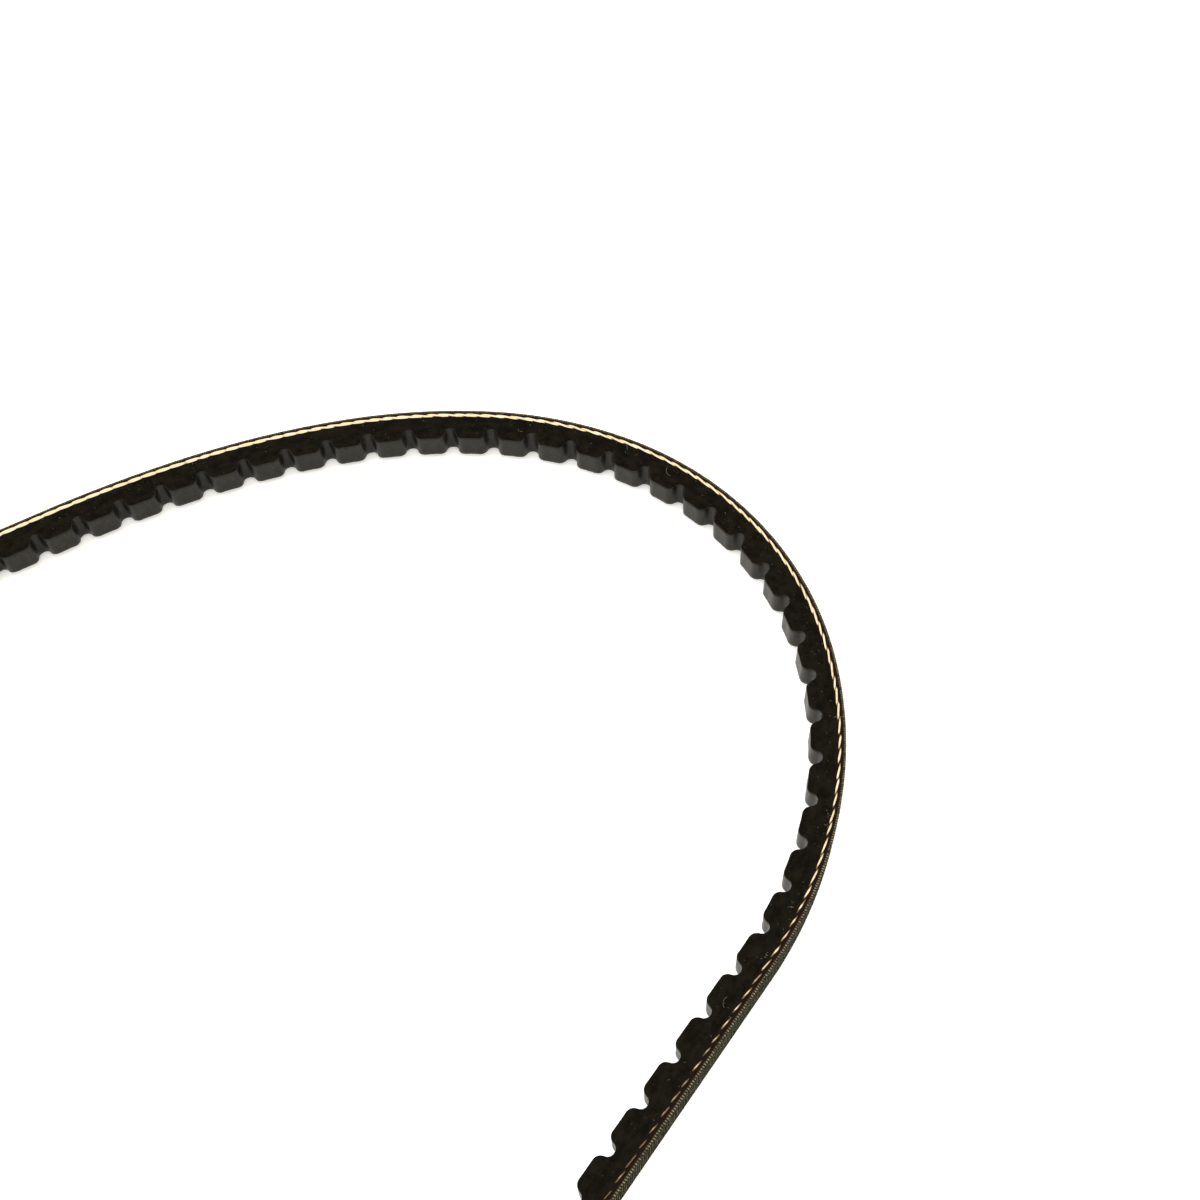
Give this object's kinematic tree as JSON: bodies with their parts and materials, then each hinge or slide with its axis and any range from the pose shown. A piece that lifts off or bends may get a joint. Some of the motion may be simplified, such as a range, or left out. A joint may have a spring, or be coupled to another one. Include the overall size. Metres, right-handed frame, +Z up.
{
  "type": "v belt",
  "caption": "Raw-edge cogged V-belt, a laminated loop of fabric, rubber and wound cord that drives grooved pulleys by its flanks.",
  "frame": {"origin": "centre of the loop's box, on the surface that the belt lies on", "axes": "+X along the loop's long axis, towards its tight end; +Z up, square to the surface that the belt lies on"},
  "size_m": [0.3712, 0.254, 0.01],
  "materials": {
    "cover_fabric": "rubbered woven cloth, matte",
    "tension_rubber": "matte, cut edge",
    "adhesion_rubber": "matte, cut edge",
    "tensile_cord": "twisted polyester yarn",
    "compression_rubber": "ground matte flanks with short fibres, smooth moulded cogs"
  },
  "bodies": {
    "root": {"cover_fabric_outer_ply": "cover_fabric", "cover_fabric_inner_ply": "cover_fabric", "tension_rubber": "tension_rubber", "adhesion_rubber_upper": "adhesion_rubber", "adhesion_rubber_lower": "adhesion_rubber", "tensile_cord_turn_1": "tensile_cord", "tensile_cord_turn_2": "tensile_cord", "tensile_cord_turn_3": "tensile_cord", "tensile_cord_turn_4": "tensile_cord", "tensile_cord_turn_5": "tensile_cord", "tensile_cord_turn_6": "tensile_cord", "tensile_cord_turn_7": "tensile_cord", "tensile_cord_turn_8": "tensile_cord", "tensile_cord_turn_9": "tensile_cord", "compression_rubber_cogged": "compression_rubber"}
  },
  "joints": []
}
